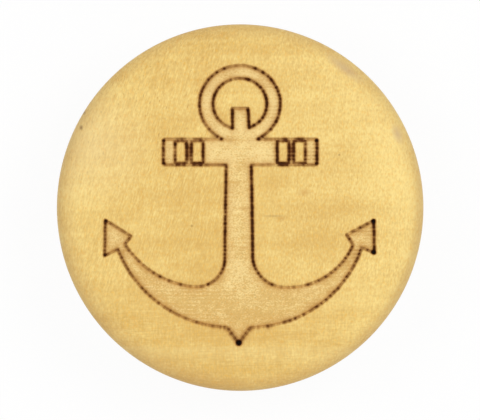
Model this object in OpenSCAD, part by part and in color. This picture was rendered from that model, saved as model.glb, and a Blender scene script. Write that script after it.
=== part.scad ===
// Wooden shank button with an engraved anchor.
// Millimetres. Z = 0 is the cloth that the wire eye rests on, and the face looks along +Z.

/* [Disc] */
// Diameter of the button, 40 ligne
button_d = 25.4; // [24:0.1:30]
// Thickness of the wooden disc
body_t = 5; // [4.5:0.1:7]
// Radius of the gentle shoulder between the flat face and the rim
shoulder_r = 6.8; // [6:0.1:7.4]
// Radius of the tighter rim that the shoulder runs into
rim_r = 1.05; // [0.8:0.05:1.4]
// Radius of the back edge
back_edge_r = 1.5; // [0.8:0.1:2]

/* [Engraving] */
// Depth of the cleared ground of the anchor
ground_depth = 0.12; // [0.05:0.01:0.3]
// Depth of the burnt outline
line_depth = 0.3; // [0.15:0.01:0.6]
// Width of the burnt outline
line_w = 0.18; // [0.1:0.01:0.24]

/* [Anchor ring and stock] */
// Sideways place of the ring
ring_x = -0.02; // [-0.1:0.01:0.1]
// Height of the middle of the ring's outer edge above the button's centre
ring_y = 7.16; // [7:0.01:7.3]
// Half the width of the ring's outer edge
ring_half_w = 2.8; // [2.6:0.01:2.9]
// How much less the half height of the ring's outer edge is
ring_flat = 0.12; // [0.04:0.02:0.2]
// Height of the middle of the ring's inner edge above the button's centre
bore_y = 7.18; // [7.1:0.01:7.3]
// Half the width of the ring's inner edge
bore_half_w = 1.86; // [1.75:0.01:2]
// How much less the half height of the ring's inner edge is
bore_flat = 0.1; // [0.04:0.02:0.2]
// Half the width of the shank's head at its top, inside the ring
head_half_w = 0.54; // [0.4:0.01:0.65]
// How much further the head's right side reaches where it runs into the stock
head_lean = 0.2; // [0.05:0.01:0.25]
// Height of the top of the shank's head
head_top_y = 6.88; // [6.6:0.01:7.2]
// Half the length of the stock, the crossbar
stock_half_l = 5.32; // [5.1:0.01:5.6]
// Radius of the stock's corners
stock_corner_r = 0.16; // [0.14:0.01:0.3]
// Height of the stock's upper edge
stock_top_y = 4.74; // [4.65:0.01:4.85]
// Height of the stock's lower edge
stock_low_y = 2.95; // [2.8:0.01:3.1]
// Distance from the middle to the inner window of each stock end
window_x = 2.57; // [2.4:0.01:2.7]
// Width of a stock window
window_w = 0.79; // [0.6:0.01:0.85]
// Distance between the two windows of a stock end
window_gap = 0.35; // [0.3:0.01:0.4]
// Wood left above and below a window
window_edge = 0.12; // [0.08:0.01:0.3]

/* [Anchor shank and arms] */
// Sideways place of the shank and the crown
shank_x = -0.1; // [-0.2:0.01:0.1]
// Half the width of the shank under the stock
shank_half_top = 0.87; // [0.7:0.01:1]
// Half the width of the shank where it joins the arms
shank_half_low = 0.96; // [0.8:0.01:1.1]
// Radius of the fillet between shank and right arm
right_fillet_r = 2.22; // [2:0.01:2.4]
// Radius of the fillet between shank and left arm
left_fillet_r = 1.95; // [1.8:0.05:2.2]
// Radius of the right arm's upper edge
right_arm_r = 4.872; // [4.8:0.002:5]
// Radius of the left arm's upper edge
left_arm_r = 6.37; // [6.3:0.01:6.5]
// Radius of the right arm's lower edge
right_keel_r = 8.19; // [8.12:0.01:8.26]
// Radius of the left arm's lower edge
left_keel_r = 8.46; // [8.4:0.01:8.54]
// Height of the crown's point below the button's centre
crown_drop = 9.42; // [9:0.01:9.6]
// Half the width of the crown's point where it leaves the arms
crown_half_w = 0.77; // [0.5:0.01:0.9]

/* [Sewing shank] */
// Depth from the wooden back to the lowest point of the eye
shank_h = 4.6; // [4:0.1:6]
// Diameter of the eye's wire
wire_d = 1.2; // [1:0.05:1.3]
// Clear width of the eye
eye_w = 3.2; // [2.8:0.1:3.4]
// Diameter of the pressed base
base_d = 9.5; // [9.4:0.1:11]
// Sheet thickness of the pressed base
base_t = 0.5; // [0.4:0.05:0.7]
// Depth of the dish pressed into the base
dish_h = 0.5; // [0.3:0.05:0.8]

/* [Hidden] */
$fn = 96;

button_r = button_d / 2;
back_z = shank_h;
face_z = shank_h + body_t;
past = 1; // how far a cutting tool runs past the surface that it opens

// Sine and cosine of the slope where the shoulder runs into the rim: a 44-117-125 triangle, about 21 degrees,
// so that both arcs have exact decimals for centres and meet without a step
slope = [0.352, 0.936];

// Places on the disc's profile, [radius, height]
flat_r = button_r - rim_r - (shoulder_r - rim_r) * slope.x;
shoulder_c = [flat_r, face_z - shoulder_r];
rim_c = shoulder_c + (shoulder_r - rim_r) * slope;
shoulder_end = shoulder_c + shoulder_r * slope;
back_c = [button_r - back_edge_r, back_z + back_edge_r];

// Edges of the arms, [centre, radius, fillet of an upper edge], and the flukes' corners: tip, inner barb,
// neck, lower neck, outer barb. The left ones are drawn as if they were on the right. With the radii above,
// each fillet's centre has exact decimals too, and its arc meets the arm's upper edge without a step.
right_upper = [[3.332, -0.645], right_arm_r, right_fillet_r];
right_lower = [[0.68, -0.1], right_keel_r];
right_fluke = [[9.25, -0.88], [7.36, -1.88], [7.84, -2.62], [8.5, -2.8], [9.28, -3.15]];
left_upper = [[2.59, 0.874], left_arm_r, left_fillet_r];
left_lower = [[0.575, 0.165], left_keel_r];
left_fluke = [[9.33, -0.87], [7.56, -1.97], [7.96, -2.5], [8.45, -2.88], [9.38, -3.33]];
arm_top_y = -2.2; // inside the flukes, where the arms are cut off
crown_y = -8.36; // where the crown's point leaves the arms
crown_root_y = -7.9; // inside the arms, where the crown's point is cut off
crown_root_w = crown_half_w * (crown_drop + crown_root_y) / (crown_drop + crown_y);
crown = [[-crown_root_w, crown_root_y], [0, -crown_drop], [crown_root_w, crown_root_y]];
stock_mid_y = (stock_low_y + stock_top_y) / 2;
shank_low_y = -5; // inside the arms
sheet = 12; // larger than the engraved motif

// Places in the sewing shank
wire_r = wire_d / 2;
leg_x = eye_w / 2 + wire_r;
arch_z = leg_x + wire_r;
base_r = base_d / 2;
base_gap = 0.05; // clearance of the base in its seat, and of the wire in its holes
dish_r = base_r - 1.25; // radius of the flat bottom of the dish
dish_run = 0.45; // how far the dish's wall leans outwards
bend_r = wire_r + 0.2; // bend of a leg behind the base, at the wire's middle
foot_l = 0.3; // straight end of a bent leg
foot_gap = 0.05; // glue between a bent leg and the base
pocket_r = dish_r + 0.5;
pocket_h = base_t - dish_h + foot_gap + wire_d + 0.25;

function unit(v) = v / norm(v);
function outward(a, b) = let (d = unit(b - a)) [d.y, -d.x];

// A counter-clockwise outline with every side moved outwards by g
function grown(p, g) = [
    for (i = [0 : len(p) - 1])
        let (
            n = len(p),
            before = outward(p[(i + n - 1) % n], p[i]),
            after = outward(p[i], p[(i + 1) % n])
        )
        p[i] + g * (before + after) / (1 + before * after)
];

// The part of a circle beyond the chord between two directions, with a little more under the chord
module bulge(centre, r, from, to) {
    a = r * from;
    b = r * to;
    translate(centre)
        intersection() {
            circle(r);
            polygon([0.95 * a, 2 * a, 2 * b, 0.95 * b]);
        }
}

// A rectangle from its two corners, grown by g
module block(low, high, g) {
    translate(low - [g, g])
        square(high - low + 2 * [g, g]);
}

// Half of the disc's section: flat face, gentle shoulder, tight rim, rounded back edge
module disc_profile() {
    polygon([
        [0, back_z],
        [back_c.x, back_z],
        [button_r, back_c.y],
        [button_r, rim_c.y],
        shoulder_end,
        [flat_r, face_z],
        [0, face_z]
    ]);
    bulge(shoulder_c, shoulder_r, slope, [0, 1]);
    bulge(rim_c, rim_r, [1, 0], slope);
    bulge(back_c, back_edge_r, [0, -1], [1, 0]);
}

// The space above one arm: shank side, fillet and upper edge run into each other
module arm_space(upper, side, g) {
    c = upper[0];
    fillet_r = upper[2];
    reach = upper[1] - fillet_r;
    fillet_x = side + fillet_r;
    fillet_c = [fillet_x, c.y - sqrt(reach * reach - pow(fillet_x - c.x, 2))];
    far = c + 2 * (fillet_c - c);
    translate(fillet_c)
        circle(fillet_r - g);
    polygon([[side + g, fillet_c.y], fillet_c, c, [side + g, c.y]]);
    intersection() {
        translate(c)
            circle(upper[1] - g);
        polygon([c, far, [sheet, far.y], [sheet, c.y]]);
    }
}

module arm(upper, lower, fluke, side, g) {
    intersection() {
        difference() {
            translate(lower[0])
                circle(lower[1] + g);
            arm_space(upper, side, g);
        }
        translate([0, arm_top_y - sheet])
            square(sheet);
    }
    polygon(grown(fluke, g));
}

// The tapered shank from the middle of the stock down into the arms, and the crown's point
module shank_and_crown(g) {
    top = shank_half_top + g;
    low = shank_half_low + g;
    translate([shank_x, 0]) {
        polygon([
            [-top, stock_mid_y],
            [-top, stock_low_y],
            [-low, arm_top_y],
            [0, shank_low_y],
            [low, arm_top_y],
            [top, stock_low_y],
            [top, stock_mid_y]
        ]);
        polygon(grown(crown, g));
    }
}

// An oval of four arcs that run into each other, grown by g. They meet on the slopes of 3-4-5 triangles.
module oval(half_w, flat, g) {
    side_x = 1.5 * flat;
    top_y = 2 * flat;
    side_r = half_w - side_x + g;
    top_r = half_w - flat + top_y + g;
    meet = [side_x, 0] + side_r * [0.6, 0.8];
    square(2 * meet, center = true);
    for (turn = [-1, 1]) {
        bulge([turn * side_x, 0], side_r, turn * [0.6, -0.8], turn * [0.6, 0.8]);
        bulge([0, -turn * top_y], top_r, turn * [0.6, 0.8], turn * [-0.6, 0.8]);
    }
}

// The ring that the shank's head reaches into
module ring(g) {
    translate([ring_x, 0])
        difference() {
            translate([0, ring_y])
                oval(ring_half_w, ring_flat, g);
            translate([0, bore_y])
                oval(bore_half_w, bore_flat, -g);
        }
}

module head(g) {
    polygon(grown([
        [-head_half_w, stock_mid_y],
        [head_half_w + head_lean, stock_mid_y],
        [head_half_w, head_top_y],
        [-head_half_w, head_top_y]
    ], g));
}

// The crossbar, with rounded corners
module stock(g) {
    r = stock_corner_r + g;
    inner = [stock_half_l, (stock_top_y - stock_low_y) / 2] - stock_corner_r * [1, 1];
    translate([0, stock_mid_y]) {
        square(2 * [inner.x + r, inner.y], center = true);
        square(2 * [inner.x, inner.y + r], center = true);
        for (x = [-1, 1], y = [-1, 1])
            translate([x * inner.x, y * inner.y])
                circle(r);
    }
}

// The two windows in one end of the stock
module windows(g) {
    for (k = [0 : 1]) {
        x = window_x + k * (window_w + window_gap);
        block([x, stock_low_y + window_edge], [x + window_w, stock_top_y - window_edge], g);
    }
}

// The anchor's outline, moved outwards by g
module anchor(g = 0) {
    difference() {
        union() {
            ring(g);
            head(g);
            stock(g);
            shank_and_crown(g);
            arm(right_upper, right_lower, right_fluke, shank_half_low + shank_x, g);
            mirror([1, 0])
                arm(left_upper, left_lower, left_fluke, shank_half_low - shank_x, g);
        }
        windows(-g);
        mirror([1, 0])
            windows(-g);
    }
}

module engraving() {
    translate([0, 0, face_z - ground_depth])
        linear_extrude(ground_depth + past)
            anchor();
    translate([0, 0, face_z - line_depth])
        linear_extrude(line_depth + past)
            difference() {
                anchor(line_w / 2);
                anchor(-line_w / 2);
            }
}

module wood_disc() {
    color("burlywood")
        difference() {
            rotate_extrude()
                disc_profile();
            translate([0, 0, back_z - past])
                cylinder(r = base_r + base_gap, h = base_t + past);
            translate([0, 0, back_z])
                cylinder(r = pocket_r, h = pocket_h);
            engraving();
        }
}

// The base's upper and lower outlines share this run from the middle to the seat
function dish_line(z) = [[0, z], [dish_r, z], [dish_r + dish_run, z + dish_h]];

module shank_base() {
    low = dish_line(back_z - dish_h);
    top = dish_line(back_z - dish_h + base_t);
    color("silver")
        difference() {
            rotate_extrude()
                polygon([
                    low[0],
                    low[1],
                    low[2],
                    [base_r, low[2].y],
                    [base_r, top[2].y],
                    top[2],
                    top[1],
                    top[0]
                ]);
            for (side = [-1, 1])
                translate([side * leg_x, 0, back_z - dish_h - past])
                    cylinder(r = wire_r + base_gap, h = base_t + 2 * past);
        }
}

// One leg of the eye: straight through the base, then bent outwards above it
module leg() {
    bend_z = back_z - dish_h + base_t + foot_gap + wire_r - bend_r;
    translate([leg_x, 0, arch_z])
        cylinder(r = wire_r, h = bend_z - arch_z);
    translate([leg_x + bend_r, 0, bend_z])
        rotate([90, 0, 0])
            rotate([0, 0, 90])
                rotate_extrude(angle = 90)
                    translate([bend_r, 0])
                        circle(wire_r);
    translate([leg_x + bend_r, 0, bend_z + bend_r])
        rotate([0, 90, 0])
            cylinder(r = wire_r, h = foot_l);
}

module shank_eye() {
    color("silver") {
        translate([0, 0, arch_z])
            rotate([90, 0, 0])
                rotate([0, 0, 180])
                    rotate_extrude(angle = 180)
                        translate([leg_x, 0])
                            circle(wire_r);
        leg();
        mirror([1, 0, 0])
            leg();
    }
}

// Cured glue that fills the pocket behind the base and locks the bent legs
module glue_plug() {
    low = dish_line(back_z - dish_h + base_t);
    color("khaki")
        difference() {
            rotate_extrude()
                polygon([
                    low[0],
                    low[1],
                    low[2],
                    [pocket_r, low[2].y],
                    [pocket_r, back_z + pocket_h],
                    [0, back_z + pocket_h]
                ]);
            shank_eye();
        }
}

wood_disc();
shank_base();
shank_eye();
glue_plug();
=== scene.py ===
"""Looks of the wooden shank button: turned wood, a burnt anchor, a plated sewing shank, a white table."""

import math

import bpy
import numpy as np
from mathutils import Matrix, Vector, geometry, kdtree, noise
from mathutils.bvhtree import BVHTree


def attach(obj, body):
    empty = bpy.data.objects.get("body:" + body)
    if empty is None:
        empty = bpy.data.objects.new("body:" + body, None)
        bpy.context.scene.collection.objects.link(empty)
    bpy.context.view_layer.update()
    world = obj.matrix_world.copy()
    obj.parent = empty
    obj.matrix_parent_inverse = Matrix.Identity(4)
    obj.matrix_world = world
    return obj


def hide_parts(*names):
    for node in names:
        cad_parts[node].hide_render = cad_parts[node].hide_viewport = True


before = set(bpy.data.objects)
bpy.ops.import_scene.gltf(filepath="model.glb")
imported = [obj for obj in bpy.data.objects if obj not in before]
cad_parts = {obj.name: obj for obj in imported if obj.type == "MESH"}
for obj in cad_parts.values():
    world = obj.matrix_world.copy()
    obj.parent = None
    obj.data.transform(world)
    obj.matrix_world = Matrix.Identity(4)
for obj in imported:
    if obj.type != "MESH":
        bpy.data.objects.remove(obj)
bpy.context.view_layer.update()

MM = 0.001

# The photograph's frame, and where the button lies in it, in pixels
IMAGE_W, IMAGE_H = 480, 420
BUTTON_PX = (240.16, 207.61)
BUTTON_RADIUS_PX = 183.3
CAMERA_HEIGHT = 0.8     # above the table, in metres

# The rows and lines of the engraving beam, in millimetres
ROW_PITCH = 0.262       # height between two rows of the beam, which leave a bead on every line they cross
FIRST_ROW = 5.695       # height of one of those rows
BEAD_LENGTH = 0.05      # half the length of a bead on an upright line
BEAD_R = 0.065          # how far heat spreads along the line
BEAM_R = 0.11           # half the width of a line, with its soft edge
WARM_R = 0.25           # how far the warmth of one stroke reaches another
WARM_LIMIT = 2.2 * WARM_R  # strokes farther off than this are left out
DWELL_R = 0.1           # radius of the dot where the beam turns back
TICK_LENGTH = 0.055     # half the height of the ticks that the rows leave on the ground beside a line
HALO_R = 0.3            # how far those ticks and the toasted halo of a line reach
BURN_REACH = 0.6        # nothing is burnt farther from a line than this
TURN_REACH = 0.36       # how far from a corner the beam is slow
TIGHTEST_BEND = 1.0     # a smaller radius than this is a corner

# Heat of the beam. A heat of 1 burns the wood to about two thirds
LINE_HEAT = 0.13        # on every line
UPPER_LOSS = 0.22       # how much less of it level lines get on the figure's upper side, or more on its lower
LEAST_LINE = 0.1        # least strength of an uneven line
STEEP_HEAT = 0.54       # more on an upright line
STEEP_EVENLY = 0.36     # how much of that grows evenly with steepness, while the rest comes close to upright
STEEP_POWER = 8         # how close to upright that rest comes
LEAST_STEEPNESS = 0.02  # steepness that a level line is given, so that a bead on it has a length
BEAD_HEAT = 0.65        # more at a bead
BEAD_LOSS = 0.2         # how much weaker a bead is on an upright line
BEAD_POWER = 0.6        # how fast beads get lower on flatter lines
LEAST_BEAD = 0.2        # least strength of an uneven bead
BEND_HEAT = 2.2         # how much hotter the line is in a bend of 1 mm radius, where the beam slows down
TURN_HEAT = 0.9         # how much hotter the line is at a corner, where the beam stops to turn
LEAST_TURN = 70         # least turn of such a corner, in degrees
JOIN_HEAT = 4.0         # how much hotter two lines are where they run together as one
CORNER_SHARE = 0.1      # how much of that lines get that only meet at a corner
PARALLEL = 0.9          # least cosine between the directions of two lines that run together
JOIN_DEPTH = (0.2, 0.9)  # how deep in the other line a join begins and is full, in half widths
END_DEPTH = (0.5, 0.95)  # how deep in its own line a stroke begins and is full, in half widths
CROWD_HEAT = 0.75       # more between strokes that run side by side
TIP_HEAT = 3.6          # where the beam turns back in a sharp tip of the figure
TIP_SHARE = 0.6         # how far the dot there lies from the ground towards the middle of the lines
NOTCH_HEAT = 1.0        # where it turns back in a sharp notch, in the middle of the lines
SHARP_TURN = 100        # least turn of a tip or notch, in degrees
TICK_HEAT = 0.5         # at the ticks on the ground
HALO_HEAT = 0.05        # in the halo of a line
PATCH_HEAT = 0.07       # more in the halo's patches
OUTER_HALO = 0.6        # how much stronger the halo is far from the middle

# Noise in the burn and on the ground: size in millimetres, strength and seed
LONG_DRIFT = (0.8, 0.4, 8.3)    # stretches of the line that are hotter or cooler
SHORT_DRIFT = (0.22, 0.9, 1.7)  # short pieces of it
DASH_DRIFT = (0.11, 1.0, 6.6)   # dashes, where the line isn't upright
BEAD_DRIFT = (0.3, 1.3, 3.1)    # beads that are stronger or fainter
PATCHES = (0.9, 1.0, 5.2)       # patches of the halo
STRAY = (0.2, 0.03, 9.4)        # how far the line strays to either side, in millimetres
GRAIN = (0.2, 0.006, 5.5)       # how uneven the ground is, in millimetres
DASHES = 0.8                    # how strong the dashes are on every line
ARM_DASHES = 2.4                # and how much stronger on the arms

# How the burn changes over the face, with the distances from the middle over which it does, in millimetres
RIGHT_GAIN = 0.022      # how much hotter the line gets with each millimetre to the right
DWELL_GAIN = 0.06       # the same for the dots where the beam turns back
TICK_GAIN = 0.17        # the same for the ticks
TICK_SHIFT = -0.1       # added to that, so that the ticks grow only to the right of the middle
TICK_RANGE = (0.05, 0.9)  # their least and greatest strength
ARMS = (1.0, 1.6)       # downwards: the arms and the shank beside them
FLUKES = (5.0, 8.0)     # to either side: the flukes
FLUKE_LOSS = 0.25       # how much cooler the line is there
CROWN = (7.9, 8.5)      # downwards: the crown
CROWN_LOSS = 0.4        # how much cooler the line is there
CROWN_SPREAD = (8.1, 8.5)  # downwards: where the crown's line widens
CROWN_WIDER = 0.55      # how much wider it is
CROWN_TIP = (8.0, 9.0)  # downwards: the crown's point, where the dot is up to twice as hot
TIP_WIDER = 0.3         # how much wider that dot is
OUTER = (7.8, 9.0)      # outwards: where the halo gets stronger

# Spots where the line burnt more or less than that: place and reach in millimetres, and the share
HOT_SPOTS = (
    ((0.0, 6.9), 0.5, 1.0),
    ((2.1, 8.9), 0.8, 0.5),
    ((0.2, 8.95), 0.6, 0.5),
    ((1.2, 5.8), 0.5, 0.5),
    ((1.6, 0.5), 2.2, 0.25),
    ((-1.6, 2.95), 0.7, -0.3),
    ((-3.0, 4.6), 0.4, -0.5),
    ((-4.1, 3.05), 0.4, -0.35),
    ((4.1, 3.05), 0.4, -0.6),
    ((2.3, 7.1), 0.8, -0.2),
    ((1.5, -5.3), 1.0, -0.15),
    ((-1.7, -5.3), 1.0, -0.2),
    ((1.1, -4.3), 0.7, -0.2),
    ((-1.2, -4.3), 0.7, -0.2),
    ((-3.8, -7.4), 1.8, -0.15),
    ((8.6, -2.9), 0.7, -0.15),
)

# The mesh of the engraved face, in millimetres unless a share is named
LINE_ROWS = (-0.09, -0.055, -0.02, 0.015, 0.05, 0.11, 0.2)  # mesh rows beside a line's edge, inside first
ALONG_STEP = 0.05       # distance between mesh points along a line
GROUND_STEP = (0.12, 0.065)  # distances between mesh points on the cleared ground, along X and Y
FACE_STEP = 0.45        # distance between mesh points on the plain face
CLEAR_OF_LINES = 0.26   # how far the plain mesh points stay from a line
MERGE = 0.03            # mesh points closer than this become one
LIP = 0.02              # depth of the rounding beside a line
RIPPLE = 0.008          # height of the waves that the rows leave on the ground
LEAST_CUT = 0.55        # share of the line's depth that is cut without any burn
BURN_CUT = 0.4          # share that a full burn adds

# The turned disc
CAP_MARGIN = 0.8        # how far the engraved cap of the mesh reaches past the flat face, in millimetres
CAP_RING_STEP = 0.16    # distance between the cap's outer rings, in millimetres
SHOULDER_SLOPE = math.asin(0.352)  # slope where the shoulder's two arcs meet
MOUTH = 0.08            # chamfer at the mouth of the seat in the back, in millimetres
RING_POINTS = 360       # mesh points round the disc
SHOULDER_STEPS, RIM_STEPS, WALL_STEPS, EDGE_STEPS, BACK_STEPS = 14, 18, 6, 16, 8  # mesh rings on each
SHARP_RINGS = 6         # the last rings, from just outside the seat's mouth inwards, which stay sharp

# Marks in the wood, in millimetres: place and half sizes, then a turn in degrees, or how dark a speck is
MARK_DEPTH = 3.0        # how far below the face a mark fades out, so that none runs down the wall
SMUDGES = (((7.25, 9.65), (2.0, 0.48), -37), ((10.9, 5.1), (0.45, 0.9), 22))
SPECKS = (
    ((-3.34, -1.27), (0.14, 0.12), 0.55),
    ((6.85, 3.65), (0.12, 0.1), 0.5),
    ((-10.8, 6.6), (0.16, 0.22), 0.8),
    ((-11.0, 5.54), (0.16, 0.24), 0.9),
    ((2.3, -0.58), (0.9, 0.12), 0.3),
)
SMEARS = (
    ((0.25, -0.08), (0.6, 0.2), 0),
    ((4.45, 1.05), (0.7, 0.35), 0),
    ((2.85, -0.75), (0.4, 0.2), 0),
    ((-7.0, -4.0), (0.9, 0.25), -38),
    ((0.27, -2.8), (0.5, 0.15), 0),
)

# Patches of the wood and of the cleared ground, in millimetres: place, half sizes, and how much paler
SHADES = (
    ((6.8, -1.9), (5.5, 2.6), -0.2),
    ((5.2, 7.2), (4.5, 2.6), 0.14),
    ((-1.5, 10.8), (5.5, 1.6), -0.12),
    ((-5.2, 0.8), (6.0, 2.4), -0.14),
    ((10.4, 3.4), (1.8, 2.0), 0.16),
    ((10.3, -5.0), (1.8, 2.0), -0.16),
)
GROUND_SHADES = (
    ((0.1, -4.7), (2.0, 2.6), 0.5),
    ((-4.75, 3.9), (0.5, 0.9), 0.4),
    ((0.0, -7.2), (4.0, 1.4), -0.16),
    ((1.8, 3.9), (1.6, 1.6), 0.35),
    ((2.3, 7.1), (0.9, 1.8), 0.35),
    ((-0.1, 1.3), (1.4, 2.0), -0.25),
    ((8.5, -2.0), (1.2, 1.2), -0.25),
)
LEFT_SHEEN_PATCH = ((-10.2, 4.3), (4.5, 4.5), 0.35)  # painted sheen on the left shoulder, as a greyer, paler patch of the wood, with its strength
ROWS_SEEN = ((-3.2, -6.6), (3.4, 2.2), 1.5)  # where the beam's rows darken the ground most, and how much

# Painted shade in bands near the edge: direction in degrees, how far out that way they begin, radii between
# which they come in, both as shares of the button's radius, and strength
EDGE_SHADE_BANDS = ((205, 0.3, 0.87, 0.93, 0.12), (-15, 0.68, 0.94, 0.975, 0.2))

# Table and light: sizes and places in metres, power in watts
TABLE_HALF = 1.5        # half the width of the table
TABLE_GLOW = 0.93       # how far the table shows plain white instead of its lit surface
EVEN_LIGHT = 0.51       # strength of the light from all sides
BOX_SIZE = 0.18         # width of each soft box
SOFT_BOXES = (
    ("right_box", (0.17, 0.09, 0.36), 0.565),
    ("left_box", (-0.18, 0.06, 0.36), 0.39),
    ("front_box", (0.04, -0.3, 0.2), 0.165),
)


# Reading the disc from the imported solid

class Solid:
    """The wooden disc's CAD mesh in millimetres, with the heights and radii that the looks follow."""

    def __init__(self, mesh):
        self.points = np.array([v.co for v in mesh.vertices]) / MM
        self.radii = np.hypot(self.points[:, 0], self.points[:, 1])
        self.flat = {}
        for face in mesh.polygons:
            heights = self.points[list(face.vertices), 2]
            if abs(face.normal.z) > 0.999 and np.ptp(heights) < 1e-3:
                side = face.normal.z > 0
                self.flat.setdefault((round(float(heights[0]), 2), side), []).append(face)
        self.face_z, self.ground_z, self.line_z = sorted(self.levels(True), reverse=True)
        self.back_z, self.seat_z, self.pocket_z = sorted(self.levels(False))
        faces = [tuple(f.vertices) for f in mesh.polygons]
        self.tree = BVHTree.FromPolygons([tuple(p) for p in self.points], faces)

    def levels(self, up):
        """Heights of the flat faces that look up or down, without slivers."""
        least_area = MM ** 2
        areas = {z: sum(f.area for f in faces) for (z, side), faces in self.flat.items() if side == up}
        return [z for z, area in areas.items() if area > least_area]

    def ring(self, level, up, pick):
        """Smallest or largest radius of the flat faces at one height."""
        corners = {i for face in self.flat[level, up] for i in face.vertices}
        return pick(self.radii[list(corners)])

    def height(self, x, y):
        """Height of the upper surface over one point of the face."""
        hit = self.tree.ray_cast(Vector((x, y, self.face_z + 1)), Vector((0, 0, -1)))[0]
        return hit.z if hit else 0.0

    def stretches(self):
        """The straight stretches round the floor of the engraved lines, each with that floor on its left."""
        found = set()
        for face in self.flat[self.line_z, True]:
            corners = [tuple(np.round(self.points[i, :2], 4)) for i in face.vertices]
            for a, b in zip(corners, corners[1:] + corners[:1]):
                if (b, a) in found:
                    found.remove((b, a))
                elif a != b:
                    found.add((a, b))
        return np.array(sorted(found))


solid = Solid(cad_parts["wood_disc"].data)
FACE_Z, BACK_Z = solid.face_z, solid.back_z
GROUND_DEPTH = FACE_Z - solid.ground_z
LINE_DEPTH = FACE_Z - solid.line_z
BUTTON_R = float(solid.radii.max())
FLAT_R = float(solid.ring(FACE_Z, True, np.max))
CAP_R = FLAT_R + CAP_MARGIN
wall = solid.points[solid.radii > BUTTON_R - 1e-3, 2]
RIM_Z, BACK_EDGE_Z = float(wall.max()), float(wall.min())


def shoulder_arcs():
    """Radii of the two arcs that run into each other between the flat face and the wall."""
    across, down = BUTTON_R - FLAT_R, FACE_Z - RIM_Z
    sin, cos = math.sin(SHOULDER_SLOPE), math.cos(SHOULDER_SLOPE)
    return np.linalg.solve([[sin, 1 - sin], [1 - cos, cos]], [across, down])


SHOULDER_R, RIM_R = shoulder_arcs()


def smooth(low, high, value):
    """0 at low, 1 at high, with soft ends."""
    t = np.clip((value - low) / (high - low), 0, 1)
    return t * t * (3 - 2 * t)


def on_row(y, reach):
    """1 on a row of the beam, falling to 0 within the given reach."""
    away = np.abs(((y - FIRST_ROW) / ROW_PITCH + 0.5) % 1 - 0.5) * ROW_PITCH
    return np.exp(-(away / reach) ** 2)


def drifting(points, kind):
    """Soft noise to both sides of 0, of one kind: its size in millimetres, strength and seed."""
    size, strength, seed = kind
    return strength * np.array([noise.noise(Vector((x / size, y / size, seed))) for x, y in points])


def search_tree(points):
    """A tree that finds the nearest of the points."""
    tree = kdtree.KDTree(len(points))
    for i, (x, y) in enumerate(points):
        tree.insert((x, y, 0), i)
    tree.balance()
    return tree


# The engraved face as a mesh

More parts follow.
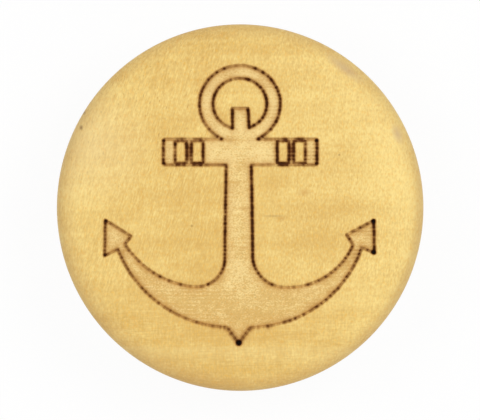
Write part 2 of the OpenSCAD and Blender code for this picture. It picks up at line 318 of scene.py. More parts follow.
class Engraving:
    """The burnt outline of the anchor: where it runs, which way, and how hot the beam was."""

    def __init__(self):
        ends = solid.stretches()
        self.start, self.along = ends[:, 0], ends[:, 1] - ends[:, 0]
        self.length = np.hypot(*self.along.T)
        self.along = self.along / self.length[:, None]
        self.out = np.stack([self.along[:, 1], -self.along[:, 0]], axis=1)
        self.half_width = -LINE_ROWS[0]
        beyond = self.start + self.along * self.length[:, None] / 2 + self.out * 2 * MERGE
        middle = (FACE_Z + solid.ground_z) / 2
        self.faces_ground = np.array([solid.height(x, y) < middle for x, y in beyond])
        self.edge, self.owner = self.sampled(MERGE / 2, 0)
        self.search = search_tree(self.edge)
        self.stroke, self.stroke_owner = self.sampled(ALONG_STEP, -self.half_width)
        self.corners = self.find_corners(ends)
        self.stroke_heat = self.heat_given(ends)
        aside = self.out * np.where(self.faces_ground, 1, -1)[:, None]
        stray = drifting(self.stroke, STRAY)
        self.stroke = self.stroke + stray[:, None] * aside[self.stroke_owner]
        self.stroke_search = search_tree(self.stroke)
        self.dwells = self.find_dwells(ends)

    def sampled(self, step, offset):
        """Points beside every stretch, and the stretch that each belongs to."""
        parts = [self.samples(i, step) + offset * self.out[i] for i in range(len(self.start))]
        return np.concatenate(parts), np.repeat(np.arange(len(parts)), [len(p) for p in parts])

    def samples(self, i, step):
        """Evenly spaced points along one stretch."""
        count = max(1, round(self.length[i] / step))
        shares = (np.arange(count) + 0.5) / count
        return self.start[i] + np.outer(shares * self.length[i], self.along[i])

    def find_corners(self, ends):
        """The stretch that follows each stretch, and the cosine and the side of the turn between them."""
        leaving = {tuple(a): i for i, (a, _) in enumerate(ends)}
        after = np.array([leaving.get(tuple(b), i) for i, (_, b) in enumerate(ends)])
        cosine = np.sum(self.along * self.along[after], axis=1)
        return after, cosine, np.sum(self.out * self.along[after], axis=1) > 0

    def bends(self):
        """How tightly each stretch bends into the next, as 1 over the radius, or 0 at a corner."""
        after, cosine, _ = self.corners
        turn = np.arccos(np.clip(cosine, -1, 1))
        bend = 2 * turn / (self.length + self.length[after])
        return np.where(bend < 1 / TIGHTEST_BEND, bend, 0)

    def turns(self, ends):
        """How close each stroke point is to a corner where the beam stops: 1 there, falling to 0."""
        _, cosine, _ = self.corners
        stops = search_tree(ends[cosine < math.cos(math.radians(LEAST_TURN)), 1])
        away = np.array([stops.find((x, y, 0))[2] for x, y in self.stroke])
        return np.exp(-away / TURN_REACH)

    def heat_given(self, ends):
        """Heat at each stroke point: the line, its beads where rows cross it, and more where lines join."""
        upright = np.maximum(np.abs(self.along[self.stroke_owner, 1]), LEAST_STEEPNESS)
        bead = on_row(self.stroke[:, 1], BEAD_LENGTH * upright ** BEAD_POWER)
        strength = np.maximum(1 + drifting(self.stroke, BEAD_DRIFT), LEAST_BEAD)
        bead = bead * strength * (1 - BEAD_LOSS * upright)
        inside, _ = self.nearest(self.stroke)
        within = smooth(*END_DEPTH, -inside / self.half_width)
        heat = (self.line_heat(ends, upright) + BEAD_HEAT * bead) * (1 + JOIN_HEAT * self.joined())
        return heat * self.by_place() * within

    def line_heat(self, ends, upright):
        """Heat of the line without its beads, uneven along it."""
        owner = self.stroke_owner
        facing_up = self.out[owner, 1] * np.where(self.faces_ground[owner], -1, 1)
        steep = STEEP_EVENLY * upright + (1 - STEEP_EVENLY) * upright ** STEEP_POWER
        slow = 1 + BEND_HEAT * self.bends()[owner] + TURN_HEAT * self.turns(ends)
        line = LINE_HEAT * slow * (1 - UPPER_LOSS * facing_up * (1 - upright)) + STEEP_HEAT * steep
        uneven = drifting(self.stroke, LONG_DRIFT) + drifting(self.stroke, SHORT_DRIFT)
        dashes = (1 - upright) * (DASHES + ARM_DASHES * smooth(*ARMS, -self.stroke[:, 1]))
        uneven = uneven + dashes * drifting(self.stroke, DASH_DRIFT)
        return line * np.maximum(1 + uneven, LEAST_LINE)

    def joined(self):
        """How far each stroke point lies where two lines run together, 0 to 1."""
        owner = self.stroke_owner
        across, other = self.nearest(self.stroke - self.half_width * self.out[owner])
        parallel = np.abs(np.sum(self.along[owner] * self.along[other], axis=1)) > PARALLEL
        return np.where(parallel, 1, CORNER_SHARE) * smooth(*JOIN_DEPTH, -across / self.half_width)

    def by_place(self):
        """How hot the beam was over the face: hotter on the right, cooler at the flukes and the crown."""
        x, y = self.stroke.T
        share = 1 + RIGHT_GAIN * x
        share = share * (1 - FLUKE_LOSS * smooth(*FLUKES, np.abs(x)))
        share = share * (1 - CROWN_LOSS * smooth(*CROWN, -y))
        for place, reach, more in HOT_SPOTS:
            away = np.sum((self.stroke - place) ** 2, axis=1)
            share = share * (1 + more * np.exp(-away / reach ** 2))
        return share

    def heat(self, points):
        """Heat that the strokes leave at each point, and how far strokes alongside add to the nearest."""
        own, crowd = np.zeros(len(points)), np.zeros(len(points))
        per_point = ALONG_STEP / (2 * math.sqrt(math.pi))
        for i, point in enumerate(points):
            hits = self.stroke_search.find_range((*point, 0), WARM_LIMIT)
            if hits:
                index = [h[1] for h in hits]
                far = np.array([h[2] for h in hits]) ** 2
                ways = self.along[self.stroke_owner[index]]
                along = np.sum((point - self.stroke[index]) * ways, axis=1) ** 2
                beam_r = BEAM_R * (1 + CROWN_WIDER * smooth(*CROWN_SPREAD, -point[1]))
                spread = np.exp(-along / BEAD_R ** 2 - (far - along) / beam_r ** 2)
                own[i] = self.stroke_heat[index] @ spread * per_point / BEAD_R
                alongside = (ways @ ways[far.argmin()]) ** 4
                warmth = alongside @ np.exp(-far / WARM_R ** 2) * per_point / WARM_R
                crowd[i] = max(warmth - math.exp(-far.min() / WARM_R ** 2), 0)
        return own, crowd

    def find_dwells(self, ends):
        """Sharp corners on the ground's side, with the heat that the beam left there: x, y and heat."""
        sharp = math.cos(math.radians(SHARP_TURN))
        found = []
        for i, (after, cosine, is_tip) in enumerate(zip(*self.corners)):
            if cosine < sharp and self.faces_ground[i] and self.faces_ground[after]:
                mitre = self.half_width * (self.out[i] + self.out[after]) / (1 + cosine)
                x, y = ends[i, 1] - (TIP_SHARE if is_tip else 1) * mitre
                heat = TIP_HEAT if is_tip else NOTCH_HEAT
                found.append((x, y, heat * (1 + DWELL_GAIN * x + smooth(*CROWN_TIP, -y))))
        return found

    def nearest(self, points):
        """Distance to the nearest line edge, negative inside the line, and the stretch that it belongs to."""
        hits = [self.search.find((x, y, 0)) for x, y in points]
        index = np.array([h[1] for h in hits])
        stretch = self.owner[index]
        across = np.sum((points - self.edge[index]) * self.out[stretch], axis=1)
        return np.array([h[2] for h in hits]) * np.sign(across), stretch

    def rows(self):
        """Mesh points in rows beside every line."""
        points = []
        for offset in LINE_ROWS:
            row, _ = self.sampled(ALONG_STEP, offset)
            gap, _ = self.nearest(row)
            points.append(row[np.abs(gap - offset) < MERGE / 2])
        return np.concatenate(points)


def lattice(step_x, step_y):
    """A staggered lattice of points over the flat face."""
    ys = np.arange(-FLAT_R, FLAT_R, step_y)
    xs = np.arange(-FLAT_R, FLAT_R, step_x)
    points = np.array([(x + (k % 2) * step_x / 2, y) for k, y in enumerate(ys) for x in xs])
    return points[np.hypot(*points.T) < FLAT_R - CAP_RING_STEP]


def circle(radius):
    """Points round one circle."""
    turn = np.arange(RING_POINTS) * 2 * math.pi / RING_POINTS
    return radius * np.stack([np.cos(turn), np.sin(turn)], axis=1)


def merged(points):
    """The points without those that share a small square with an earlier one."""
    _, first = np.unique(np.round(points / MERGE).astype(int), axis=0, return_index=True)
    return points[np.sort(first)]


def is_low(points):
    """Which points lie over the cleared ground."""
    low = np.array([solid.height(x, y) < FACE_Z - GROUND_DEPTH / 2 for x, y in points])
    return low & (np.hypot(*points.T) < FLAT_R)


def cap_points(engraving):
    """Points of the engraved cap: its rim in order, then dense rows at the lines, then the open areas."""
    rings = np.concatenate([circle(r) for r in np.arange(FLAT_R, CAP_R - CAP_RING_STEP / 2, CAP_RING_STEP)])
    ground, face = lattice(*GROUND_STEP), lattice(FACE_STEP, FACE_STEP)
    open_areas = np.concatenate([ground[is_low(ground)], face[~is_low(face)], rings])
    gap, _ = engraving.nearest(open_areas)
    inner = np.concatenate([engraving.rows(), open_areas[np.abs(gap) > CLEAR_OF_LINES]])
    return np.concatenate([circle(CAP_R), merged(inner)])


def burnt(engraving, points, gap, stretch):
    """How deeply each point is burnt, 0 to 1."""
    x, y = points.T
    upright = np.abs(engraving.along[stretch, 1])
    own, crowd = engraving.heat(points)
    fading = np.exp(-np.maximum(gap, 0) / HALO_R)
    patchy = np.clip(0.5 + drifting(points, PATCHES), 0, 1)
    to_the_right = np.clip(TICK_GAIN * x + TICK_SHIFT, *TICK_RANGE)
    ticks = TICK_HEAT * to_the_right * upright * on_row(y, TICK_LENGTH) * fading
    farther_out = 1 + OUTER_HALO * smooth(*OUTER, np.hypot(x, y))
    halo = (HALO_HEAT + PATCH_HEAT * patchy) * farther_out * fading
    beside = engraving.faces_ground[stretch] * (ticks * patchy + halo)
    heat = own + CROWD_HEAT * crowd + beside
    for dot_x, dot_y, dwell in engraving.dwells:
        dot_r = DWELL_R * (1 + TIP_WIDER * smooth(*CROWN_TIP, -dot_y))
        heat = heat + dwell * np.exp(-((x - dot_x) ** 2 + (y - dot_y) ** 2) / dot_r ** 2)
    return 1 - np.exp(-heat)


def engraved_cap(engraving):
    """Mesh points and triangles of the cap in millimetres, with burn and ground strengths for each point."""
    points = cap_points(engraving)
    found, _, triangles, *_ = geometry.delaunay_2d_cdt([Vector(p) for p in points], [], [], 0, 1e-5)
    points = np.array(found)
    gap, stretch = engraving.nearest(points)
    far = np.abs(gap) > CLEAR_OF_LINES
    near = np.flatnonzero(np.abs(gap) < BURN_REACH)
    burn = np.zeros(len(points))
    burn[near] = burnt(engraving, points[near], gap[near], stretch[near])

    on_ground = np.where(far, is_low(points), engraving.faces_ground[stretch])
    ground = np.where(gap > 0, on_ground, 0.5 + 0.5 * on_ground).astype(float)
    ripple = RIPPLE * np.cos(2 * math.pi * points[:, 1] / ROW_PITCH) + drifting(points, GRAIN)
    side_depth = on_ground * (GROUND_DEPTH + ripple)
    cut = np.sin(np.clip(-gap / engraving.half_width, 0, 1) * math.pi / 2)
    floor = LINE_DEPTH * (LEAST_CUT + BURN_CUT * burn)
    depth = side_depth + (floor - side_depth) * cut
    depth = depth + LIP * np.exp(-np.maximum(gap, 0) / MERGE) * (1 - cut) * ~far

    radius = np.hypot(*points.T)
    drop = SHOULDER_R - np.sqrt(SHOULDER_R ** 2 - np.maximum(radius - FLAT_R, 0) ** 2)
    height = FACE_Z - drop - np.maximum(depth, 0)
    return np.column_stack([points, height]), [tuple(t) for t in triangles], burn, ground


def arc(centre, radius, start, stop, count):
    """Points on an arc, by angles in degrees, without its first point."""
    angles = np.radians(np.linspace(start, stop, count + 1)[1:])
    return [(centre[0] + radius * math.cos(a), centre[1] + radius * math.sin(a)) for a in angles]


def disc_profile():
    """Radius and height from the cap's rim over the shoulder, the wall and the back into the pocket."""
    slope = math.degrees(SHOULDER_SLOPE)
    start = 90 - math.degrees(math.asin((CAP_R - FLAT_R) / SHOULDER_R))
    edge_r = BACK_EDGE_Z - BACK_Z
    seat_r = solid.ring(BACK_Z, False, np.min)
    pocket_r = solid.ring(solid.seat_z, False, np.min)
    front = arc((FLAT_R, FACE_Z - SHOULDER_R), SHOULDER_R, start, 90 - slope, SHOULDER_STEPS)
    front += arc((BUTTON_R - RIM_R, RIM_Z), RIM_R, 90 - slope, 0, RIM_STEPS)
    drop = BACK_EDGE_Z - RIM_Z
    side = [(BUTTON_R, RIM_Z + drop * k / WALL_STEPS) for k in range(1, WALL_STEPS + 1)]
    back = arc((BUTTON_R - edge_r, BACK_EDGE_Z), edge_r, 0, -90, EDGE_STEPS)
    inner = [(seat_r + MOUTH, BACK_Z), (seat_r, BACK_Z + MOUTH), (seat_r, solid.seat_z)]
    inner += [(pocket_r, solid.seat_z), (pocket_r, solid.pocket_z)]
    back_r = BUTTON_R - edge_r
    inwards = seat_r + MOUTH - back_r
    steps = [(back_r + inwards * k / BACK_STEPS, BACK_Z) for k in range(1, BACK_STEPS)]
    return front, side, back + steps + inner


def wood_disc_mesh():
    """The whole wooden disc as one closed mesh, with burn and ground strengths and a map for painting."""
    points, faces, burn, ground = engraved_cap(Engraving())
    front, side, back = disc_profile()
    rings = [np.arange(RING_POINTS)]
    for radius, height in front + side + back:
        rings.append(len(points) + np.arange(RING_POINTS))
        points = np.concatenate([points, np.column_stack([circle(radius), np.full(RING_POINTS, height)])])
    zone = ["front"] * len(faces)
    names = ["front"] * len(front) + ["side"] * len(side) + ["back"] * len(back)
    for name, upper, lower in zip(names, rings, rings[1:]):
        following = np.roll(upper, -1), np.roll(lower, -1)
        faces += [tuple(int(i) for i in q) for q in zip(upper, lower, following[1], following[0])]
        zone += [name] * RING_POINTS
    centre = len(points)
    points = np.concatenate([points, [(0, 0, solid.pocket_z)]])
    faces += [(int(a), centre, int(b)) for a, b in zip(rings[-1], np.roll(rings[-1], -1))]
    zone += ["back"] * RING_POINTS

    mesh = bpy.data.meshes.new("wood_disc_turned")
    mesh.from_pydata((points * MM).tolist(), [], faces)
    padding = np.zeros(len(points) - len(burn))
    for name, values in (("burn", burn), ("ground", ground)):
        layer = mesh.attributes.new(name, "FLOAT", "POINT")
        layer.data.foreach_set("value", np.concatenate([values, padding]).astype(np.float32))
    mesh.shade_smooth()
    sharp_rings = {int(i): k for k, ring in enumerate(rings[-SHARP_RINGS:]) for i in ring}
    sharp = mesh.attributes.new("sharp_edge", "BOOLEAN", "EDGE")
    for edge in mesh.edges:
        a, b = (sharp_rings.get(v) for v in edge.vertices)
        sharp.data[edge.index].value = a is not None and a == b
    paint_map(mesh, points, faces, zone)
    return mesh


def paint_map(mesh, points, faces, zone):
    """A flat layout: the face large, the back small beside it, the wall as a strip below."""
    flat = {"front": ((0.38, 0.62), 0.37), "back": ((0.87, 0.87), 0.12)}
    strip_x, strip_y, strip_w, strip_h = 0.01, 0.02, 0.98, 0.06
    corners = []
    for face, name in zip(faces, zone):
        places = points[list(face)]
        if name == "side":
            turn = np.arctan2(places[:, 1], places[:, 0]) / (2 * math.pi) % 1
            turn = np.where(turn < turn.max() - 0.5, turn + 1, turn)
            rise = (places[:, 2] - BACK_EDGE_Z) / (RIM_Z - BACK_EDGE_Z)
            corners += [(strip_x + strip_w * t, strip_y + strip_h * r) for t, r in zip(turn, rise)]
        else:
            centre, reach = flat[name]
            corners += [tuple(centre + reach * place[:2] / BUTTON_R) for place in places]
    layer = mesh.uv_layers.new(name="OFBake")
    layer.data.foreach_set("uv", np.array(corners, np.float32).ravel())


# Materials

def srgb(red, green, blue):
    """A colour as a picture editor shows it, 0 to 255, as linear light."""
    def linear(value):
        share = value / 255
        return share / 12.92 if share <= 0.04045 else ((share + 0.055) / 1.055) ** 2.4
    return (linear(red), linear(green), linear(blue), 1.0)


# Colours of the wood, of its marks, of the cleared ground and of the burn
DARK_WOOD = srgb(215, 175, 98)
PALE_WOOD = srgb(246, 219, 141)
ORANGE_WOOD = srgb(236, 186, 84)
# painted sheen on the left shoulder
SHEEN_WOOD = srgb(238, 214, 160)
LATE_WOOD = srgb(240, 218, 152)
# painted shade at the rim, and the darker wood of the worn edge
EDGE_WEAR_AND_SHADE = srgb(180, 136, 90)
FLECK = srgb(232, 174, 80)
PORE = srgb(168, 118, 56)
SMUDGE = srgb(194, 163, 128)
SMEAR = srgb(200, 150, 78)
SPECK = srgb(120, 84, 52)
PALE_GROUND = srgb(249, 225, 162)
DARK_GROUND = srgb(208, 168, 100)
ORANGE_GROUND = srgb(224, 160, 74)
GRIT = srgb(150, 122, 86)
TOASTED = srgb(214, 162, 86)
SCORCHED = srgb(106, 56, 12)
CHAR = srgb(16, 5, 2)

# Pairs of colours between which the plating, the glue and the table vary
BASE_NICKEL = (srgb(214, 212, 206), srgb(197, 194, 187))
EYE_NICKEL = (srgb(226, 224, 220), srgb(208, 205, 199))
AMBER = (srgb(206, 170, 96), srgb(232, 204, 140))
WHITE = (srgb(240, 240, 240), srgb(248, 248, 248))


class Look:
    """A material and its nodes, added by short calls. Sizes are in millimetres."""

    def __init__(self, name):
        self.material = bpy.data.materials.new(name)
        self.material.use_nodes = True
        self.tree = self.material.node_tree
        self.shader = self.tree.nodes["Principled BSDF"]
        self.place = self.node("ShaderNodeTexCoord").outputs["Object"]

    def node(self, kind, inputs=None, **settings):
        """A new node with its settings and inputs."""
        node = self.tree.nodes.new(kind)
        for name, value in settings.items():
            setattr(node, name, value)
        for name, value in (inputs or {}).items():
            self.feed(node.inputs[name], value)
        return node

    def feed(self, socket, value):
        """A socket gets a link or a plain value."""
        if isinstance(value, bpy.types.NodeSocket):
            self.tree.links.new(value, socket)
        else:
            socket.default_value = value

    def math(self, operation, a, b=0.0, clamp=False):
        """Arithmetic with one or two values."""
        return self.node("ShaderNodeMath", {0: a, 1: b}, operation=operation, use_clamp=clamp).outputs[0]

    def ramp(self, value, low, high):
        """0 below low, 1 above high, soft between."""
        inputs = {"Value": value, "From Min": low, "From Max": high}
        return self.node("ShaderNodeMapRange", inputs, interpolation_type="SMOOTHSTEP").outputs["Result"]

    def share(self, value, low, high):
        """0 below low, 1 above high, straight between."""
        inputs = {"Value": value, "From Min": low, "From Max": high}
        return self.node("ShaderNodeMapRange", inputs).outputs["Result"]

    def mix(self, share, a, b):
        """A colour from a to b."""
        node = self.node("ShaderNodeMix", data_type="RGBA")
        for name, value in (("Factor_Float", share), ("A_Color", a), ("B_Color", b)):
            self.feed(next(s for s in node.inputs if s.identifier == name), value)
        return next(s for s in node.outputs if s.identifier == "Result_Color")

    def tint(self, colour, where, strength, other):
        """The colour, moved towards another one as far as where and strength say."""
        return self.mix(self.math("MULTIPLY", where, strength), colour, other)

    def plus(self, total, value, weight):
        """The total with a weighted value added."""
        return self.math("ADD", total, self.math("MULTIPLY", value, weight))

    def attribute(self, name):
        """A value stored on the mesh."""
        return self.node("ShaderNodeAttribute", attribute_name=name).outputs["Fac"]

    def noise(self, size, detail=2.0, lean=0.0, seed=0.0):
        """Noise whose features have the given size along X, Y and Z, leaning in the face's plane."""
        inputs = {
            "Vector": self.place,
            "Location": (seed * MM, seed * MM, 0),
            "Rotation": (0, 0, math.radians(lean)),
            "Scale": tuple(s * MM for s in size),
        }
        mapped = self.node("ShaderNodeMapping", inputs, vector_type="TEXTURE").outputs[0]
        return self.node("ShaderNodeTexNoise", {"Vector": mapped, "Scale": 1.0, "Detail": detail}).outputs[0]

    def across(self, size):
        """X and Y over the face, in multiples of the given size."""
        parts = self.node("ShaderNodeSeparateXYZ", {"Vector": self.place}).outputs
        return [self.math("DIVIDE", parts[axis], size * MM) for axis in ("X", "Y")]

    def along(self, towards, size):
        """Distance over the face towards a direction in degrees, in multiples of the given size."""
        east, north = self.across(size)
        turn = math.radians(towards)
        part = self.math("MULTIPLY", north, math.sin(turn))
        return self.math("ADD", self.math("MULTIPLY", east, math.cos(turn)), part)

    def radius(self, size):
        """Distance from the button's axis, in multiples of the given size."""
        squares = [self.math("POWER", part, 2.0) for part in self.across(size)]
        return self.math("SQRT", self.math("ADD", *squares))

    def spot(self, place, size, turn=0.0):
        """1 at a place on the face, falling to 0 at the given distances along X and Y, turned in degrees."""
        inputs = {
            "Vector": self.place,
            "Location": (place[0] * MM, place[1] * MM, FACE_Z * MM),
            "Rotation": (0, 0, math.radians(turn)),
            "Scale": (size[0] * MM, size[1] * MM, MARK_DEPTH * MM),
        }
        mapped = self.node("ShaderNodeMapping", inputs, vector_type="TEXTURE").outputs[0]
        fade = self.node("ShaderNodeTexGradient", {"Vector": mapped}, gradient_type="SPHERICAL")
        return fade.outputs["Fac"]

    def between(self, share, a, b):
        """A value from a to b."""
        return self.math("ADD", a, self.math("MULTIPLY", share, self.math("SUBTRACT", b, a)))

    def blend_values(self, middle, *parts):
        """middle plus each noise, centred on zero and weighted."""
        total = middle
        for value, weight in parts:
            total = self.plus(total, self.math("SUBTRACT", value, 0.5), weight)
        return total

    def surface(self, **inputs):
        """Inputs of the shader, by their names with underscores."""
        for name, value in inputs.items():
            self.feed(self.shader.inputs[name.replace("_", " ")], value)

    def bump(self, height, depth):
        """Fine relief of the given depth."""
        node = self.node("ShaderNodeBump", {"Height": height, "Strength": 1.0, "Distance": depth * MM})
        self.feed(self.shader.inputs["Normal"], node.outputs[0])


def bare_wood(look):
    """Pale honey hardwood: colour, fibres and mottle, with painted sheen on the shoulders and painted shade
    near the edge. The fibres lean on the left and stand on the right.
    """
    east, north = look.across(8.0)
    leaning = look.noise((0.1, 0.6, 0.1), 1.0, lean=-17)
    standing = look.noise((0.1, 0.32, 0.1), 1.0, lean=-4, seed=7)
    fibre = look.between(look.ramp(east, -0.2, 0.5), leaning, standing)
    upright = look.noise((0.1, 1.0, 0.1), 1.0, lean=1, seed=77)
    level = look.noise((1.0, 0.1, 0.1), 1.0, lean=1, seed=67)
    weave = look.blend_values(0.5, (upright, 0.55), (level, 0.55))
    fibre = look.between(look.ramp(north, -0.6, -1.0), fibre, weave)
    streak = look.noise((0.3, 3.0, 0.3), 2.0, lean=-9, seed=11)
    band = look.noise((8.0, 1.2, 4.0), 2.0, lean=2, seed=23)
    ring_lines = look.noise((5.0, 0.3, 2.0), 1.0, lean=1, seed=29)
    mottle = look.noise((0.16, 0.2, 0.16), 2.0, seed=37)
    blotch = look.noise((1.8, 2.2, 1.8), 3.0, seed=51)
    hue = look.noise((0.13, 0.22, 0.13), 1.0, seed=91)
    fleck = look.ramp(look.noise((0.3, 0.4, 0.3), 2.0, seed=63), 0.56, 0.72)
    pores = look.ramp(look.noise((0.09, 0.4, 0.1), 1.0, lean=-12, seed=5), 0.62, 0.8)

    # Broad tone: paler to both sides, which is painted sheen on the left and right shoulders, and a little
    # paler to the upper right
    painted_sheen_sides = look.math("MULTIPLY", look.math("MULTIPLY", east, east), 0.14)
    slant = look.plus(look.math("MULTIPLY", east, 0.05), north, 0.04)
    broad = look.math("ADD", look.math("ADD", painted_sheen_sides, slant), 0.38)
    tone = look.blend_values(broad, (fibre, 0.85), (streak, 0.35), (band, 0.5), (ring_lines, 0.2))
    tone = look.blend_values(tone, (mottle, 0.6), (blotch, 0.4))
    for place, size, paler in SHADES:
        tone = look.plus(tone, look.spot(place, size), paler)
    wood = look.mix(look.ramp(tone, 0.0, 1.0), DARK_WOOD, PALE_WOOD)
    wood = look.mix(look.ramp(hue, 0.42, 1.1), wood, ORANGE_WOOD)
    wood = look.tint(wood, fleck, 0.25, FLECK)

    # Pores show most at the upper left
    upper_left = look.math("MULTIPLY", look.ramp(east, 0.2, -0.6), look.ramp(north, -0.3, 0.6))
    pore_share = look.math("ADD", look.math("MULTIPLY", upper_left, 0.4), 0.14)
    wood = look.tint(wood, pores, pore_share, PORE)
    # Painted sheen on the left shoulder, as a greyer, paler patch
    place, size, share = LEFT_SHEEN_PATCH
    wood = look.tint(wood, look.spot(place, size), share, SHEEN_WOOD)

    # A layer of late wood begins sharply below the figure and fades downwards
    late_wood = look.math("SUBTRACT", look.ramp(north, -1.19, -1.215), look.ramp(north, -1.22, -1.42))
    wood = look.tint(wood, late_wood, 0.18, LATE_WOOD)
    # Darker towards the rim: painted shade on the shoulder together with darker, worn wood at the very edge
    wood = look.tint(wood, look.ramp(look.radius(BUTTON_R), 0.9, 0.98), 0.2, EDGE_WEAR_AND_SHADE)
    # Painted shade in bands near the edge, on the lower left and on the right
    for towards, least, inner, outer, share in EDGE_SHADE_BANDS:
        facing = look.ramp(look.along(towards, BUTTON_R), least, least + 0.3)
        band = look.math("MULTIPLY", facing, look.ramp(look.radius(BUTTON_R), inner, outer))
        wood = look.tint(wood, band, share, EDGE_WEAR_AND_SHADE)
    return wood, fibre, mottle, pores


def with_marks(look, wood):
    """Grey smudges near the edge, toasted smears, a dark streak and a few specks."""
    for place, size, turn in SMUDGES:
        wood = look.tint(wood, look.spot(place, size, turn), 0.7, SMUDGE)
    for place, size, turn in SMEARS:
        wood = look.tint(wood, look.spot(place, size, turn), 0.6, SMEAR)
    for place, size, share in SPECKS:
        wood = look.tint(wood, look.spot(place, size), share, SPECK)
    return wood


def cleared_wood(look):
    """The ground inside the figure: paler, sandy, with faint dashes along the rows of the beam."""
    row = look.math("SUBTRACT", look.across(ROW_PITCH)[1], FIRST_ROW / ROW_PITCH)
    wave = look.math("MAXIMUM", look.math("COSINE", look.math("MULTIPLY", row, 2 * math.pi)), 0.0)
    dashes = look.ramp(look.noise((0.5, 0.16, 0.3), 2.0, seed=3), 0.36, 0.64)
    sand = look.noise((0.12, 0.1, 0.1), 2.0, seed=83)
    hue = look.noise((0.16, 0.11, 0.1), 1.0, seed=19)
    grit = look.ramp(look.noise((0.11, 0.09, 0.1), 1.0, seed=58), 0.6, 0.78)
    clouds = look.noise((1.5, 1.2, 1.0), 2.0, seed=44)
    low_down = look.ramp(look.across(8.0)[1], 0.45, -0.95)
    patches = look.noise((0.5, 0.32, 0.4), 2.0, seed=97)

    # The tone counts how dark the ground is
    tone = look.blend_values(0.24, (sand, 2.3), (clouds, 1.1), (patches, 1.0))
    for place, size, paler in GROUND_SHADES:
        tone = look.plus(tone, look.spot(place, size), -paler)
    place, size, share = ROWS_SEEN
    rows = look.math("ADD", look.math("MULTIPLY", look.spot(place, size), share), 0.18)
    tone = look.plus(tone, look.math("MULTIPLY", wave, dashes), rows)
    tone = look.plus(tone, low_down, 0.45)
    cleared = look.mix(look.ramp(tone, 0.0, 1.0), PALE_GROUND, DARK_GROUND)
    cleared = look.mix(look.ramp(hue, 0.5, 1.0), cleared, ORANGE_GROUND)
    return look.tint(cleared, grit, 0.55, GRIT)


def burnt_wood(look, wood, burn):
    """From toasted over brown to char."""
    grit = look.math("SUBTRACT", look.noise((0.06, 0.06, 0.06), 2.0, seed=71), 0.5)
    burn = look.plus(burn, grit, look.math("MULTIPLY", burn, 0.5))
    toasted = look.tint(wood, look.share(burn, 0.0, 0.15), 0.7, TOASTED)
    scorched = look.mix(look.share(burn, 0.02, 0.55), toasted, SCORCHED)
    return look.mix(look.share(burn, 0.45, 0.9), scorched, CHAR)


def wood_look():
    """Honey wood, cleared inside the figure and burnt where the beam went."""
    look = Look("honey_wood")
    wood, fibre, mottle, pores = bare_wood(look)
    ground, burn = look.attribute("ground"), look.attribute("burn")
    wood = look.tint(wood, ground, 0.6, cleared_wood(look))
    wood = with_marks(look, wood)
    rough = look.blend_values(0.46, (fibre, 0.2), (mottle, 0.1))
    rougher = look.math("MULTIPLY", look.math("MAXIMUM", ground, burn), 0.22)
    rough = look.math("ADD", rough, rougher, clamp=True)
    look.surface(Base_Color=burnt_wood(look, wood, burn), Roughness=rough, Specular_IOR_Level=0.14)
    relief = look.blend_values(0.5, (fibre, 0.6), (mottle, 0.4))
    look.bump(look.math("SUBTRACT", relief, look.math("MULTIPLY", pores, 0.5)), 0.008)
    return look.material


def metal_look(name, colours, rough):
    """Nickel plating with fine drawing marks and dull patches, from its bright colour to its dull one."""
    look = Look(name)
    marks = look.noise((0.05, 0.05, 0.9), 2.0)
    patches = look.noise((0.7, 0.7, 0.7), 3.0, seed=13)
    colour = look.mix(look.ramp(patches, 0.35, 0.7), *colours)
    roughness = look.blend_values(rough, (marks, 0.16), (patches, 0.1))
    look.surface(Base_Color=colour, Metallic=1.0, Roughness=roughness)
    look.bump(marks, 0.004)
    return look.material


def glue_look():
    """Cured amber adhesive with small clouds in it."""
    look = Look("amber_glue")
    clouds = look.noise((0.5, 0.5, 0.5), 3.0)
    look.surface(Base_Color=look.mix(clouds, *AMBER), Roughness=0.25)
    return look.material


def add_piece(name, mesh, material, node):
    """A finished piece that stands for a CAD node."""
    piece = bpy.data.objects.new(name, mesh)
    bpy.context.scene.collection.objects.link(piece)
    mesh.materials.append(material)
    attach(piece, "root")
    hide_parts(node)


def dress_node(node, material):
    """A CAD node keeps its shape and gets a new finish."""
    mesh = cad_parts[node].data
    mesh.materials.clear()
    mesh.materials.append(material)


add_piece("turned_disc", wood_disc_mesh(), wood_look(), "wood_disc")
dress_node("shank_base", metal_look("dull_nickel", BASE_NICKEL, 0.34))
dress_node("shank_eye", metal_look("bright_nickel", EYE_NICKEL, 0.24))
dress_node("glue_plug", glue_look())


# Table, light and camera

def seen_or_mirrored(look):
    """1 for rays from the camera and for rays in reflections and glass, else 0."""
    path = look.node("ShaderNodeLightPath")
    direct = look.math("MAXIMUM", path.outputs["Is Camera Ray"], path.outputs["Is Glossy Ray"])
    return look.math("MAXIMUM", direct, path.outputs["Is Transmission Ray"])


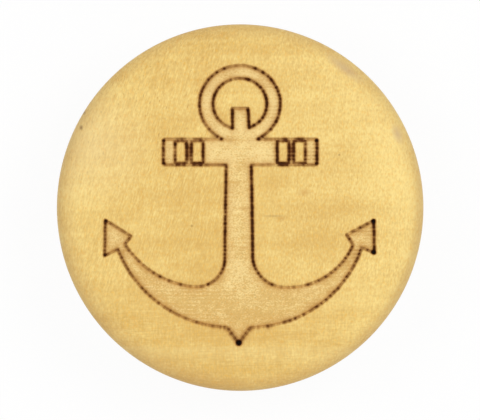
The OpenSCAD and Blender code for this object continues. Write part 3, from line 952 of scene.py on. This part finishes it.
def make_table():
    """A white table that keeps the button's shadow."""
    corners = [(x * TABLE_HALF, y * TABLE_HALF, 0) for x, y in ((-1, -1), (1, -1), (1, 1), (-1, 1))]
    mesh = bpy.data.meshes.new("table")
    mesh.from_pydata(corners, [], [range(len(corners))])
    table = bpy.data.objects.new("table", mesh)
    bpy.context.scene.collection.objects.link(table)
    look = Look("white_table")
    paper = look.noise((3.0, 3.0, 3.0), 3.0)
    look.surface(Base_Color=look.mix(paper, *WHITE), Roughness=0.9)
    glow = look.node("ShaderNodeEmission", {"Strength": 1.0}).outputs[0]
    share = look.math("MULTIPLY", seen_or_mirrored(look), TABLE_GLOW)
    mixed = look.node("ShaderNodeMixShader", {0: share, 1: look.shader.outputs[0], 2: glow}).outputs[0]
    look.feed(look.tree.nodes["Material Output"].inputs["Surface"], mixed)
    mesh.materials.append(look.material)


def make_lamp(name, place, power):
    """A square soft box that looks at the button."""
    data = bpy.data.lights.new(name, "AREA")
    data.energy = power
    data.size = BOX_SIZE
    lamp = bpy.data.objects.new(name, data)
    lamp.location = place
    lamp.rotation_euler = (-Vector(place)).to_track_quat("-Z", "Y").to_euler()
    bpy.context.scene.collection.objects.link(lamp)


def make_world():
    """Even light from all sides."""
    world = bpy.data.worlds.new("studio")
    world.use_nodes = True
    back = world.node_tree.nodes["Background"]
    back.inputs["Color"].default_value = (1.0, 1.0, 1.0, 1.0)
    back.inputs["Strength"].default_value = EVEN_LIGHT
    bpy.context.scene.world = world


def make_camera():
    """Straight above the button, framed as in the photograph."""
    data = bpy.data.cameras.new("camera")
    reach = CAMERA_HEIGHT - RIM_Z * MM
    data.lens = data.sensor_width * BUTTON_RADIUS_PX / IMAGE_W * reach / (BUTTON_R * MM)
    metres_per_px = BUTTON_R * MM / BUTTON_RADIUS_PX
    camera = bpy.data.objects.new("camera", data)
    aside = (IMAGE_W / 2 - BUTTON_PX[0]) * metres_per_px
    below = (BUTTON_PX[1] - IMAGE_H / 2) * metres_per_px
    camera.location = (aside, below, CAMERA_HEIGHT)
    bpy.context.scene.collection.objects.link(camera)
    bpy.context.scene.camera = camera


make_table()
make_world()
for box in SOFT_BOXES:
    make_lamp(*box)
make_camera()
bpy.context.scene.view_settings.view_transform = "Standard"
